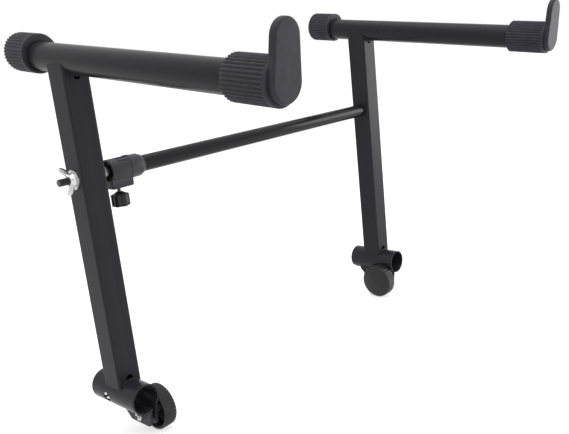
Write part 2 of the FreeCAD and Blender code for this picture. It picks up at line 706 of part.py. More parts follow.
def make_crossbar():
    """The outer tube, welded to the right upright, and its weld."""
    tube = bar_body("crossbar_tube", "bar_start")
    ring = new_sketch(tube)
    add_circle(ring, "bar_radius")
    add_circle(ring, "bar_radius - bar_wall")
    pad(ring, "-upright_half - bar_start")
    weld = bar_body("crossbar_weld", "-upright_half", "-1")
    bead = new_sketch(weld, "XZ_Plane")
    add_polygon(bead, [
        ("bar_radius", "0"),
        ("bar_radius + bar_weld_radius", "0"),
        ("bar_radius + bar_weld_radius * 0.7", "bar_weld_radius * 0.7"),
        ("bar_radius", "bar_weld_radius"),
    ])
    revolve(bead)


def make_collar():
    """The moulded collar that guides the rod, with the boss that holds the lock screw's nut."""
    body = bar_body("crossbar_collar", "collar_start")
    profile = new_sketch(body, "XZ_Plane")
    bore = "rod_radius + rod_clearance"
    mouth = "collar_radius - collar_mouth"
    band_start = "collar_grip - collar_band_width / 2"
    band_end = "collar_grip + collar_band_width / 2"
    add_polygon(profile, [
        (bore, "collar_mouth_depth"),
        (mouth, "collar_mouth_depth"),
        (f"{mouth} + mouth_flare", "0"),
        ("collar_radius - collar_band", "0"),
        ("collar_radius", "collar_band"),
        ("collar_radius", band_start),
        ("collar_radius + collar_band", f"{band_start} + collar_band"),
        ("collar_radius + collar_band", f"{band_end} - collar_band"),
        ("collar_radius", band_end),
        ("collar_radius", "collar_length - collar_taper"),
        ("bar_radius + neck_end_wall", "collar_length"),
        ("bar_radius", "collar_length"),
        ("bar_radius", "collar_grip"),
        (bore, "collar_grip"),
    ])
    revolve(profile)
    boss = new_sketch(body, "XY_Plane")
    half = "boss_width / 2"
    inner = "rod_radius + boss_root"
    add_polygon(boss, [(inner, f"-({half})"), ("boss_drop", f"-({half})"),
                       ("boss_drop", half), (inner, half)])
    pad(boss, "collar_grip")
    drop = number("boss_drop")
    round_edges(body, "boss_rounding",
                lambda edge: edge_along(edge, Vector(0, 0, 1)) and edge.BoundBox.XMin > drop - 0.01)
    seat = new_sketch(body, "YZ_Plane", "collar_radius")
    add_hexagon(seat, "insert_flats", up="lock_inset")
    pocket(seat, "insert_height", backwards=True)
    round_bar_cut(body, "lock_radius + hole_clearance", "boss_drop - rod_radius + cut_room",
                  ("rod_radius", "0", "lock_inset"), Y_AXIS, "90")


def make_collar_lock():
    """The nut in the boss, and the screw and lobed knob that press on the rod."""
    place = ("collar_start + lock_inset", "0", "bar_height")
    nut = new_body("collar_insert_nut", place)
    plan = new_sketch(nut, "XY_Plane", "-collar_radius - insert_height")
    add_hexagon(plan, "insert_flats", first_corner=0)
    add_circle(plan, "lock_radius + thread_clearance")
    pad(plan, "insert_height")
    screw = new_body("lock_screw", place)
    profile = new_sketch(screw, "XZ_Plane")
    tip = "-rod_radius - lock_seat"
    foot = "-lock_knob_top - lock_knob_height + lock_knob_face"
    add_polygon(profile, [("0", tip), ("lock_radius - screw_bevel", tip),
                          ("lock_radius", f"{tip} - screw_bevel"), ("lock_radius", foot), ("0", foot)])
    revolve(profile)
    make_lock_knob(place)


def make_lock_knob(place):
    """The small lobed thumb knob, with a cone up to its screw."""
    body = new_body("lock_knob", place)
    top = "-lock_knob_top"
    foot = "-lock_knob_top - lock_knob_height"
    profile = new_sketch(body, "XZ_Plane")
    add_polygon(profile, [
        ("lock_radius", top),
        ("lock_radius + lock_knob_neck", top),
        ("lock_knob_radius - lock_knob_edge", f"{top} - lock_knob_cone"),
        ("lock_knob_radius", f"{top} - lock_knob_cone - lock_knob_edge"),
        ("lock_knob_radius", f"{foot} + lock_knob_edge"),
        ("lock_knob_radius - lock_knob_edge", foot),
        ("0", foot),
        ("0", f"{foot} + lock_knob_face"),
        ("lock_radius", f"{foot} + lock_knob_face"),
    ])
    revolve(profile)
    scallop = new_sketch(body, "XY_Plane", foot)
    add_circle(scallop, "lock_knob_scallop", "lock_knob_radius + lock_knob_scallop * 0.55", "0")
    cut = pocket(scallop, "lock_knob_height", backwards=True)
    repeat_around(body, cut, "lock_knob_lobes")


def make_rod():
    """The inner rod with its threaded insert, the pivot stud and the washer at the upright."""
    rod = bar_body("inner_rod", "rod_start")
    ring = new_sketch(rod)
    add_circle(ring, "rod_radius")
    add_circle(ring, "rod_bore")
    pad(ring, "rod_length")
    insert = bar_body("rod_insert", "rod_start")
    plug = new_sketch(insert)
    add_circle(plug, "rod_bore")
    pad(plug, "rod_insert_length")
    hole = new_sketch(insert)
    add_circle(hole, "stud_radius")
    pocket(hole, "stud_depth", backwards=True)
    stud = bar_body("pivot_stud", "left_middle", "-1")
    profile = new_sketch(stud, "XZ_Plane")
    inner = "left_middle - rod_start - stud_depth"
    add_polygon(profile, [("0", inner), ("stud_radius", inner),
                          ("stud_radius", "stud_reach - screw_bevel"),
                          ("stud_radius - screw_bevel", "stud_reach"), ("0", "stud_reach")])
    revolve(profile)
    washer = bar_body("pivot_washer", "left_face + face_room")
    ring = new_sketch(washer)
    add_circle(ring, "pivot_washer_radius")
    add_circle(ring, "stud_radius")
    pad(ring, "pivot_washer_thickness")


def make_wing_nut():
    """The washer and the wing nut that lock the left unit on its pivot."""
    washer = bar_body("wing_washer", "left_middle", "-1")
    ring = new_sketch(washer, "XY_Plane", "upright_half + face_room")
    add_circle(ring, "wing_washer_radius")
    add_circle(ring, "stud_radius + thread_clearance")
    pad(ring, "wing_washer_thickness")
    at = ("left_middle - wing_seat", "0", "bar_height")
    nut = new_body("wing_nut", at, Y_AXIS, "-90")
    profile = new_sketch(nut, "XZ_Plane")
    bore = "stud_radius + thread_clearance"
    add_polygon(profile, [
        (bore, "0"),
        ("wing_foot_radius", "0"),
        ("wing_foot_radius", "wing_foot_height"),
        ("wing_top_radius", "wing_hub_height - wing_edge"),
        ("wing_top_radius - wing_edge", "wing_hub_height"),
        (bore, "wing_hub_height"),
    ])
    revolve(profile)
    for sign in ("1", "-1"):
        make_wing(nut, sign)


def make_wing(nut, sign):
    """One ear of the wing nut. Its outline is given in shares of the span and the height."""
    wing = new_sketch(nut, "XZ_Plane")
    wing.AttachmentOffset = FreeCAD.Placement(Vector(), FreeCAD.Rotation(Y_AXIS, number("wing_turn")))
    bind(wing, AttachmentOffset__Rotation__Angle="wing_turn")
    root = f"{sign} * (stud_radius + wing_foot_wall / 4)"
    add_polygon(wing, [
        (root, "wing_foot_height * 0.7"),
        (f"{sign} * wing_foot_radius", "wing_foot_height * 0.8"),
        (f"{sign} * wing_span * 0.84", "wing_height * 0.5"),
        (f"{sign} * wing_span", "wing_height * 0.92"),
        (f"{sign} * wing_span * 0.8", "wing_height"),
        (f"{sign} * wing_span * 0.55", "wing_height * 0.68"),
        (root, "wing_hub_height * 0.88"),
    ])
    pad(wing, "wing_thickness", "Symmetric")


def check_model():
    """Stops if any object of the document failed or any piece isn't a sound solid."""
    doc.recompute()
    for thing in doc.Objects:
        if "Invalid" in thing.State or "Error" in thing.State:
            raise ValueError(f"{thing.Label} failed: {thing.State}")
    for piece in pieces:
        shape = piece.Shape
        if shape.isNull() or not shape.isValid() or not shape.Solids:
            raise ValueError(f"{piece.Label} is not a sound solid")


def write_pieces():
    """Writes each piece to a file with its own name."""
    os.makedirs("parts", exist_ok=True)
    for piece in pieces:
        piece.Shape.exportStep(f"parts/{piece.Label}.step")
        print(f"{piece.Label}: {len(piece.Shape.Solids)} solid(s), {piece.Shape.Volume:.0f} mm3")


fill_sheet()
make_side_unit("right", "right_middle", "-1")
make_side_unit("left", "left_middle", "1")
make_crossbar()
make_collar()
make_collar_lock()
make_rod()
make_wing_nut()
check_model()
write_pieces()
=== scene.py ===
import json
import math

import bmesh
import bpy
from mathutils import Matrix, Vector

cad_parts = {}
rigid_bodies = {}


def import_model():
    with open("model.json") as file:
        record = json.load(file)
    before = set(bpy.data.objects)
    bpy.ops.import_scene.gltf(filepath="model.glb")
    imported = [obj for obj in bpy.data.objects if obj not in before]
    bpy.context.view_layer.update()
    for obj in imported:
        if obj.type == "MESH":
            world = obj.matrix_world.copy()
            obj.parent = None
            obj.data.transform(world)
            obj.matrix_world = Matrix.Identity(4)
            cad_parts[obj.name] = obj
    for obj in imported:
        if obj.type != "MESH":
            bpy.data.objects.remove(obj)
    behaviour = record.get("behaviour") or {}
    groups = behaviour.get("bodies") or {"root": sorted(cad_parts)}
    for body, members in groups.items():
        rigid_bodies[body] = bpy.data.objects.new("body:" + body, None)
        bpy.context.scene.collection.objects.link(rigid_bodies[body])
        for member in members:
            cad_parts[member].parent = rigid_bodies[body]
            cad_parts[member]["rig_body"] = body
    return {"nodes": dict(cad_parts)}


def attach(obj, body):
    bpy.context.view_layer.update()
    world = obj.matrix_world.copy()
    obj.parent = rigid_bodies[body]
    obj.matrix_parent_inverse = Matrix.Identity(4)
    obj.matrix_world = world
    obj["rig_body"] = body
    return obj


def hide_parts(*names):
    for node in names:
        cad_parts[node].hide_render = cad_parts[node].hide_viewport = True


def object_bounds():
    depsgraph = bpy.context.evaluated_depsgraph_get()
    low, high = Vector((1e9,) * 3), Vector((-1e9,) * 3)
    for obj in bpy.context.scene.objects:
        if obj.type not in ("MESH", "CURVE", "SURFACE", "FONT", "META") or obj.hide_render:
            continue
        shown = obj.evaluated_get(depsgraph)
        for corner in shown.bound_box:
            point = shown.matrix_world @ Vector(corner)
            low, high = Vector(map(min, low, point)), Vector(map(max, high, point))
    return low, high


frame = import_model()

# The upper tier of a folding keyboard stand: black coated steel tube, ribbed rubber stops,
# grained plastic knobs and bright plated hardware.
# The world is in metres. Pieces are modelled in millimetres about their own Z and then placed.

CAD_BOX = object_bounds()
MM = 0.001
TURN = 2 * math.pi
QUARTER = math.pi / 2
SIDES = {"right": (0.0, -1.0), "left": (-518.0, 1.0)}   # middle plane and inward direction
X_WAY = Vector((1.0, 0.0, 0.0))
Y_WAY = Vector((0.0, 1.0, 0.0))

# Sizes of the construction, in millimetres, as the frame has them.
ARM_HEIGHT = 376.0
ARM_TILT = math.radians(7.0)
ARM_RADIUS = 15.0
UPRIGHT_HALF = 15.0
SLEEVE_RADIUS = 17.8
BAR_HEIGHT = 253.0
BAR_RADIUS = 9.5
LEFT_MIDDLE = SIDES["left"][0]
COLLAR_START = LEFT_MIDDLE + UPRIGHT_HALF + 10.0
LOCK_INSET = 11.8
CLAMP_SCREW = (-20.0, -27.0)   # before the upright, below the bore
RIBS = 36
RIB_DEPTH = 1.15
RIB_STEPS = RIBS * 8
WELD_DISTANCE = 0.0005        # vertices closer than this are merged
LEVEL_ROOM = 0.01             # vertices this close to a height lie on it


# ---------------------------------------------------------------- shader helpers

def link(tree, output, target):
    """Joins an output socket to an input socket."""
    tree.links.new(output, target)


def add_node(tree, kind, **settings):
    """Adds a node and sets its plain settings."""
    made = tree.nodes.new(kind)
    for name, value in settings.items():
        setattr(made, name, value)
    return made


def feed(tree, socket, value):
    """Sets an input to a number or colour, or joins it to an output."""
    if isinstance(value, bpy.types.NodeSocket):
        link(tree, value, socket)
    else:
        socket.default_value = value


def calculate(tree, operation, first, second=0.0, third=0.0, clamp=False):
    """A math node's result."""
    made = add_node(tree, "ShaderNodeMath", operation=operation, use_clamp=clamp)
    for socket, value in zip(made.inputs, (first, second, third)):
        feed(tree, socket, value)
    return made.outputs[0]


def noise(tree, coordinates, scale, detail=2.0, roughness=0.5):
    """A noise value over the given coordinates."""
    made = add_node(tree, "ShaderNodeTexNoise")
    link(tree, coordinates, made.inputs["Vector"])
    feed(tree, made.inputs["Scale"], scale)
    made.inputs["Detail"].default_value = detail
    made.inputs["Roughness"].default_value = roughness
    return made.outputs["Fac"]


def stretch(tree, coordinates, factors):
    """Coordinates scaled along each axis, so that a pattern on them is drawn out."""
    made = add_node(tree, "ShaderNodeMapping")
    link(tree, coordinates, made.inputs["Vector"])
    made.inputs["Scale"].default_value = factors
    return made.outputs[0]


def remap(tree, value, low, high, to_low=0.0, to_high=1.0):
    """Stretches a value from one range to another, held at its ends."""
    made = add_node(tree, "ShaderNodeMapRange", interpolation_type="SMOOTHSTEP")
    for name, number in (("Value", value), ("From Min", low), ("From Max", high),
                         ("To Min", to_low), ("To Max", to_high)):
        feed(tree, made.inputs[name], number)
    return made.outputs["Result"]


def mix_colours(tree, amount, first, second):
    """A blend of two colours."""
    made = add_node(tree, "ShaderNodeMix", data_type="RGBA")
    feed(tree, made.inputs[0], amount)
    feed(tree, made.inputs[6], first)
    feed(tree, made.inputs[7], second)
    return made.outputs[2]


def new_group(name, inputs, outputs):
    """An empty shader node group with named number sockets."""
    group = bpy.data.node_groups.new(name, "ShaderNodeTree")
    for label, default in inputs:
        socket = group.interface.new_socket(label, in_out="INPUT", socket_type="NodeSocketFloat")
        socket.default_value = default
    for label in outputs:
        group.interface.new_socket(label, in_out="OUTPUT", socket_type="NodeSocketFloat")
    return group, group.nodes.new("NodeGroupInput"), group.nodes.new("NodeGroupOutput")


def make_grain_group():
    """Fine relief: the orange peel of a powder coat or the grain of moulded plastic and rubber."""
    group, given, result = new_group(
        "surface_grain",
        [("Grain Scale", 2500.0), ("Swell Scale", 60.0), ("Swell Amount", 0.3)],
        ["Height", "Mottle"])
    place = group.nodes.new("ShaderNodeTexCoord").outputs["Object"]
    fine = noise(group, place, given.outputs["Grain Scale"], 2.0, 0.6)
    swell = noise(group, place, given.outputs["Swell Scale"], 3.0, 0.5)
    height = calculate(group, "MULTIPLY_ADD", swell, given.outputs["Swell Amount"], fine)
    link(group, height, result.inputs["Height"])
    link(group, remap(group, swell, 0.3, 0.7), result.inputs["Mottle"])
    return group


def make_wear_and_shade_group():
    """Where a used surface shows dust on top, scuffs, rubbed edges that also paint a highlight, and
    painted shade in its hollows.
    """
    group, given, result = new_group(
        "surface_wear_and_shade",
        [("Scuff Scale", 25.0), ("Scuff Amount", 0.4), ("Dust Amount", 0.3), ("Edge Amount", 0.5)],
        ["Scuffs", "Dust", "Edges", "Hollow Shade"])
    place = group.nodes.new("ShaderNodeTexCoord").outputs["Object"]
    geometry = group.nodes.new("ShaderNodeNewGeometry")
    drawn_out = stretch(group, place, (1.0, 0.35, 1.0))
    streaks = noise(group, drawn_out, given.outputs["Scuff Scale"], 5.0, 0.65)
    scuffs = calculate(group, "MULTIPLY", remap(group, streaks, 0.52, 0.72),
                       given.outputs["Scuff Amount"])
    split = add_node(group, "ShaderNodeSeparateXYZ")
    link(group, geometry.outputs["Normal"], split.inputs[0])
    upward = remap(group, split.outputs["Z"], 0.35, 1.0)
    patches = remap(group, noise(group, place, 140.0, 4.0, 0.7), 0.35, 0.75)
    dust = calculate(group, "MULTIPLY", patches, given.outputs["Dust Amount"])
    pointiness = geometry.outputs["Pointiness"]
    # Edges lightened where pointiness is high: partly rubbed wear, partly a painted highlight along
    # rounded corners.
    edges = calculate(group, "MULTIPLY", remap(group, pointiness, 0.52, 0.62),
                      given.outputs["Edge Amount"])
    link(group, scuffs, result.inputs["Scuffs"])
    link(group, calculate(group, "MULTIPLY", upward, dust), result.inputs["Dust"])
    link(group, edges, result.inputs["Edges"])
    # Painted shade: hollows such as rib grooves, where pointiness is low, are marked for darkening.
    link(group, remap(group, pointiness, 0.49, 0.42), result.inputs["Hollow Shade"])
    return group


def make_drawn_group():
    """Fine lines along one axis, as drawn or polished metal has."""
    group, given, result = new_group(
        "drawn_lines",
        [("Along", 0.02), ("Across", 1.0), ("Line Scale", 900.0)],
        ["Lines", "Patches"])
    place = group.nodes.new("ShaderNodeTexCoord").outputs["Object"]
    joined = add_node(group, "ShaderNodeCombineXYZ")
    for axis, label in (("X", "Along"), ("Y", "Across"), ("Z", "Across")):
        link(group, given.outputs[label], joined.inputs[axis])
    scaled = add_node(group, "ShaderNodeVectorMath", operation="MULTIPLY")
    link(group, place, scaled.inputs[0])
    link(group, joined.outputs[0], scaled.inputs[1])
    lines = noise(group, scaled.outputs[0], given.outputs["Line Scale"], 3.0, 0.6)
    link(group, lines, result.inputs["Lines"])
    patches = remap(group, noise(group, place, 70.0, 4.0, 0.6), 0.35, 0.7)
    link(group, patches, result.inputs["Patches"])
    return group


GRAIN = make_grain_group()
WEAR_AND_SHADE = make_wear_and_shade_group()
DRAWN = make_drawn_group()


def place_group(tree, group, **values):
    """Puts a node group in a material. Underscores in the names stand for spaces."""
    made = add_node(tree, "ShaderNodeGroup", node_tree=group)
    for name, value in values.items():
        made.inputs[name.replace("_", " ")].default_value = value
    return made


def tone(level, red=0.0, blue=0.0):
    """A near-neutral colour, in linear light, with a cast towards red and blue."""
    return (level * (1 + red), level, level * (1 + blue), 1.0)


def cool(level):
    """The faintly violet black of the coats, the collar and the rubber."""
    return tone(level, 0.05, 0.32)


def plain(level):
    """The nearly neutral black of the arms and the knobs."""
    return tone(level, 0.01, 0.12)


def shade(colour, share):
    """A colour darkened to a share of itself."""
    return tuple(part * share for part in colour[:3]) + (1.0,)


def new_material(name):
    """A material with its tree and its shader."""
    material = bpy.data.materials.new(name)
    material.use_nodes = True
    tree = material.node_tree
    return material, tree, tree.nodes["Principled BSDF"]


def add_bump(tree, shader, height, distance):
    """Fine relief on the shader's normal."""
    bump = add_node(tree, "ShaderNodeBump")
    bump.inputs["Distance"].default_value = distance
    link(tree, height, bump.inputs["Height"])
    link(tree, bump.outputs[0], shader.inputs["Normal"])


MOTTLE_SHARE = 0.68
# Share of its colour that a hollow keeps under the painted shade.
HOLLOW_SHADE_SHARE = 0.3
DUST_COLOUR = tone(0.14)
COAT_ROUGHNESS = 0.06


def make_dark_finish(name, colour, edge_wear_and_highlight, roughness, grain=2500.0, relief=0.00002, swell=60.0,
                     scuff=0.4, dust=0.3, edge=0.5, coat=0.0, specular=0.5, spread=0.18):
    """A dark coat, plastic or rubber with grain, mottling, scuffs, dust, painted shade in hollows
    and rubbed edges that also paint a highlight.
    """
    material, tree, shader = new_material(name)
    surface = place_group(tree, GRAIN, Grain_Scale=grain, Swell_Scale=swell)
    wear_and_shade = place_group(tree, WEAR_AND_SHADE, Scuff_Amount=scuff, Dust_Amount=dust, Edge_Amount=edge)
    base = mix_colours(tree, surface.outputs["Mottle"], shade(colour, MOTTLE_SHARE), colour)
    # Edges take the lighter colour: rubbed wear and a painted highlight along corners.
    base = mix_colours(tree, wear_and_shade.outputs["Edges"], base, edge_wear_and_highlight)
    base = mix_colours(tree, wear_and_shade.outputs["Dust"], base, DUST_COLOUR)
    # Painted shade: hollows are darkened to a share of the colour.
    base = mix_colours(tree, wear_and_shade.outputs["Hollow Shade"], base, shade(colour, HOLLOW_SHADE_SHARE))
    link(tree, base, shader.inputs["Base Color"])
    rough = calculate(tree, "MULTIPLY_ADD", wear_and_shade.outputs["Scuffs"], spread, roughness)
    rough = calculate(tree, "MULTIPLY_ADD", wear_and_shade.outputs["Dust"], 0.25, rough, clamp=True)
    link(tree, rough, shader.inputs["Roughness"])
    add_bump(tree, shader, surface.outputs["Height"], relief)
    shader.inputs["Coat Weight"].default_value = coat
    shader.inputs["Coat Roughness"].default_value = COAT_ROUGHNESS
    shader.inputs["Specular IOR Level"].default_value = specular
    return material


def make_metal(name, colour, dull, roughness, relief, along=0.02, lines=900.0):
    """Bright metal with drawn lines and duller patches."""
    material, tree, shader = new_material(name)
    drawn = place_group(tree, DRAWN, Along=along, Line_Scale=lines)
    grain = place_group(tree, GRAIN, Grain_Scale=1400.0)
    base = mix_colours(tree, drawn.outputs["Patches"], dull, colour)
    link(tree, base, shader.inputs["Base Color"])
    rough = calculate(tree, "MULTIPLY_ADD", drawn.outputs["Lines"], 0.14, roughness)
    link(tree, rough, shader.inputs["Roughness"])
    height = calculate(tree, "ADD", drawn.outputs["Lines"], grain.outputs["Height"])
    add_bump(tree, shader, height, relief)
    shader.inputs["Metallic"].default_value = 1.0
    return material


# The second colour of each dark finish is that of its edges, rubbed and painted with a highlight.
FINISHES = {
    "upright_coat": make_dark_finish("upright_coat", cool(0.009), cool(0.04), 0.38,
                                     specular=0.13, dust=0.08),
    "arm_coat": make_dark_finish("arm_coat", plain(0.008), plain(0.04), 0.30,
                                 specular=0.13, dust=0.1),
    "clamp_coat": make_dark_finish("clamp_coat", cool(0.006), cool(0.05), 0.26,
                                   specular=0.17, scuff=0.8, dust=0.05, edge=0.4),
    "crossbar_gloss": make_dark_finish("crossbar_gloss", plain(0.003), plain(0.03), 0.14, coat=0.12,
                                       relief=0.000006, scuff=0.2, dust=0.05, specular=0.08),
    "rubber": make_dark_finish("rubber", cool(0.036), cool(0.09), 0.60, grain=1800.0,
                               relief=0.00004, swell=190.0, scuff=0.5, dust=0.25, specular=0.28),
    "knob_plastic": make_dark_finish("knob_plastic", plain(0.014), plain(0.05), 0.40,
                                     grain=1500.0, relief=0.00003, specular=0.32, dust=0.15),
    "collar_plastic": make_dark_finish("collar_plastic", cool(0.034), cool(0.06), 0.46,
                                       grain=1500.0, relief=0.00003, specular=0.34, dust=0.2),
    "zinc": make_metal("zinc", tone(0.80), tone(0.55), 0.2, 0.00004, along=1.0),
    "bright_rod": make_metal("bright_rod", tone(0.24), tone(0.18), 0.16, 0.000012),
    "dark_screw": make_dark_finish("dark_screw", tone(0.02), tone(0.12), 0.34, relief=0.00001,
                                   dust=0.0, edge=0.6, specular=0.5),
    "brass": make_metal("brass", (0.62, 0.42, 0.16, 1.0), (0.5, 0.33, 0.13, 1.0), 0.22, 0.00002),
}

NODE_SLOTS = {
    "upright": "upright_coat", "arm_weld": "upright_coat", "crossbar_weld": "upright_coat",
    "arm_tube": "arm_coat",
    "clamp_sleeve": "clamp_coat", "outer_ear": "clamp_coat", "inner_ear": "clamp_coat",
    "sleeve_weld": "clamp_coat",
    "crossbar_tube": "crossbar_gloss",
    "rear_cap": "rubber", "front_stop": "rubber",
    "clamp_knob": "knob_plastic", "lock_knob": "knob_plastic",
    "crossbar_collar": "collar_plastic",
    "clamp_nut": "zinc", "clamp_screw": "zinc", "clamp_washer": "zinc", "rod_insert": "zinc",
    "pivot_washer": "zinc", "wing_washer": "zinc", "wing_nut": "zinc",
    "inner_rod": "bright_rod",
    "lock_screw": "dark_screw", "pivot_stud": "dark_screw",
    "collar_insert_nut": "brass",
}


def slot_of(node):
    """The finish of a node, whichever side it is on."""
    for side in SIDES:
        if node.startswith(side + "_"):
            node = node[len(side) + 1:]
    return NODE_SLOTS[node]


def coat_frame():
    """Gives each node of the frame its finish."""
    for name, node in frame["nodes"].items():
        for slot in node.material_slots:
            slot.material = FINISHES[slot_of(name)]


coat_frame()


# ---------------------------------------------------------------- modelling helpers

def arc(centre, radius, start, end, steps):
    """Profile points on an arc, with angles in degrees from the outward direction."""
    turns = [math.radians(start + (end - start) * step / steps) for step in range(steps + 1)]
    return [(centre[0] + radius * math.cos(turn), centre[1] + radius * math.sin(turn))
            for turn in turns]


def add_turned(made, profile, steps, closed=False):
    """Turns a profile of (radius, height) points once round Z. Returns its new vertices."""
    before = set(made.verts)
    verts = [made.verts.new((radius, 0.0, height)) for radius, height in profile]
    pairs = list(zip(verts, verts[1:]))
    if closed:
        pairs.append((verts[-1], verts[0]))
    edges = [made.edges.new(pair) for pair in pairs]
    bmesh.ops.spin(made, geom=verts + edges, cent=(0, 0, 0), axis=(0, 0, 1), angle=TURN,
                   steps=steps, use_merge=True, use_duplicate=False)
    new = [vert for vert in made.verts if vert not in before]
    bmesh.ops.remove_doubles(made, verts=new, dist=WELD_DISTANCE)
    return [vert for vert in made.verts if vert not in before]


def turned(profile, steps, closed=False):
    """A mesh turned from one profile, with its faces outwards."""
    made = bmesh.new()
    add_turned(made, profile, steps, closed)
    bmesh.ops.recalc_face_normals(made, faces=made.faces)
    return made


def press_ribs(made, radius, count, depth, start, end, reach=2.5, power=1.1, fade=0.5):
    """Presses grooves along Z into the outside of a turned shape, between two heights.

    The grooves run on round a rounded end and fade out over the reach below the radius."""
    for vert in made.verts:
        distance = math.hypot(vert.co.x, vert.co.y)
        along = min((vert.co.z - start) / fade, (end - vert.co.z) / fade, 1.0)
        inward = min((distance - radius + reach) / (0.6 * reach), 1.0)
        if along <= 0.0 or inward <= 0.0:
            continue
        wave = 0.5 + 0.5 * math.cos(count * math.atan2(vert.co.y, vert.co.x))
        share = 1.0 - depth * along * inward * wave ** power / distance
        vert.co.x *= share
        vert.co.y *= share


def own_frame(at, axis=X_WAY, angle=0.0):
    """Places a piece's own frame at a point in millimetres, turned about an axis."""
    return Matrix.Translation(Vector(at)) @ Matrix.Rotation(angle, 4, axis)


def arm_frame(middle, rise=0.0):
    """Own Z along the arm to the rear, own -Y up, on the arm's axis or above it by a rise."""
    at = (middle, -rise * math.sin(ARM_TILT), ARM_HEIGHT + rise * math.cos(ARM_TILT))
    return own_frame(at, X_WAY, ARM_TILT - QUARTER)


def bar_frame(start, sign=1.0):
    """Own Z along the crossbar, to the right or, with sign -1, to the left."""
    return own_frame((start, 0.0, BAR_HEIGHT), Y_WAY, sign * QUARTER)


def screw_frame(middle, inward):
    """Own Z along the clamp screw, inward from the unit's middle plane."""
    return own_frame((middle,) + CLAMP_SCREW, Y_WAY, inward * QUARTER)


def finish_piece(made, node, placement, flat_above=32.0):
    """Makes a detailed piece that stands for a node, with its body, slot and finish."""
    bmesh.ops.remove_doubles(made, verts=made.verts, dist=WELD_DISTANCE)
    bmesh.ops.recalc_face_normals(made, faces=made.faces)
    bmesh.ops.transform(made, matrix=Matrix.Scale(MM, 4) @ placement, verts=made.verts)
    mesh = bpy.data.meshes.new(node + "_detailed")
    made.to_mesh(mesh)
    made.free()
    mesh.shade_smooth()
    mesh.set_sharp_from_angle(angle=math.radians(flat_above))
    mesh.materials.append(FINISHES[slot_of(node)])
    piece = bpy.data.objects.new(node + "_detailed", mesh)
    bpy.context.scene.collection.objects.link(piece)
    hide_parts(node)
    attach(piece, frame["nodes"][node]["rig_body"])
    return piece


# ---------------------------------------------------------------- rubber cap and stop

CAP_RADIUS = 20.99
CAP_RISE = 2.4
CAP_END = 89.5
CAP_MOUTH = 49.0
CAP_ROUNDING = 3.0
STOP_RADIUS = 20.0
STOP_RISE = 0.65
STOP_END = -295.0
STOP_MOUTH = -246.0


def bridge_mouth(made, level):
    """Closes the ring between an outer and an inner open edge at one height."""
    rim = [edge for edge in made.edges if edge.is_boundary
           and all(abs(vert.co.z - level) < LEVEL_ROOM for vert in edge.verts)]
    bmesh.ops.bridge_loops(made, edges=rim)


def ribbed_sleeve(outside, bore, bore_drop, level):
    """A thick sleeve, closed at one end, whose bore lies lower than its outside."""
    made = bmesh.new()
    add_turned(made, outside, RIB_STEPS)
    inner = add_turned(made, bore, RIB_STEPS)
    bmesh.ops.translate(made, verts=inner, vec=(0.0, bore_drop, 0.0))
    bridge_mouth(made, level)
    bmesh.ops.recalc_face_normals(made, faces=made.faces)
    return made


def make_rear_cap(side, middle):
    """The ribbed cap over the arm's rear end, with a smooth ring at its mouth."""
    ring = CAP_MOUTH + 4.0
    corner = (CAP_RADIUS - CAP_ROUNDING, CAP_END - CAP_ROUNDING)
    outside = [(0.0, CAP_END), (8.0, CAP_END), (14.0, CAP_END - 0.05)]
    outside += arc(corner, CAP_ROUNDING, 90.0, 0.0, 7)
    outside += [(CAP_RADIUS, ring + 12.0), (CAP_RADIUS, ring + 1.0), (CAP_RADIUS, ring + 0.4),
                (CAP_RADIUS, ring)]
    outside += arc((CAP_RADIUS - 0.7, CAP_MOUTH + 0.7), 0.7, 0.0, -90.0, 3)
    bore = [(ARM_RADIUS + 0.9, CAP_MOUTH), (ARM_RADIUS + 0.3, CAP_MOUTH + 0.3),
            (ARM_RADIUS + 0.05, CAP_MOUTH + 1.2), (ARM_RADIUS + 0.05, CAP_END - 4.5),
            (0.0, CAP_END - 4.5)]
    made = ribbed_sleeve(outside, bore, CAP_RISE, CAP_MOUTH)
    press_ribs(made, CAP_RADIUS, RIBS, RIB_DEPTH, ring, CAP_END + 1.0)
    finish_piece(made, f"{side}_rear_cap", arm_frame(middle, CAP_RISE), flat_above=50.0)


LIP_THICKNESS = 6.0
LIP_FOOT = 16.8
LIP_HEAD = 14.5
LIP_RISE = 33.5
LIP_SUNK = 0.6


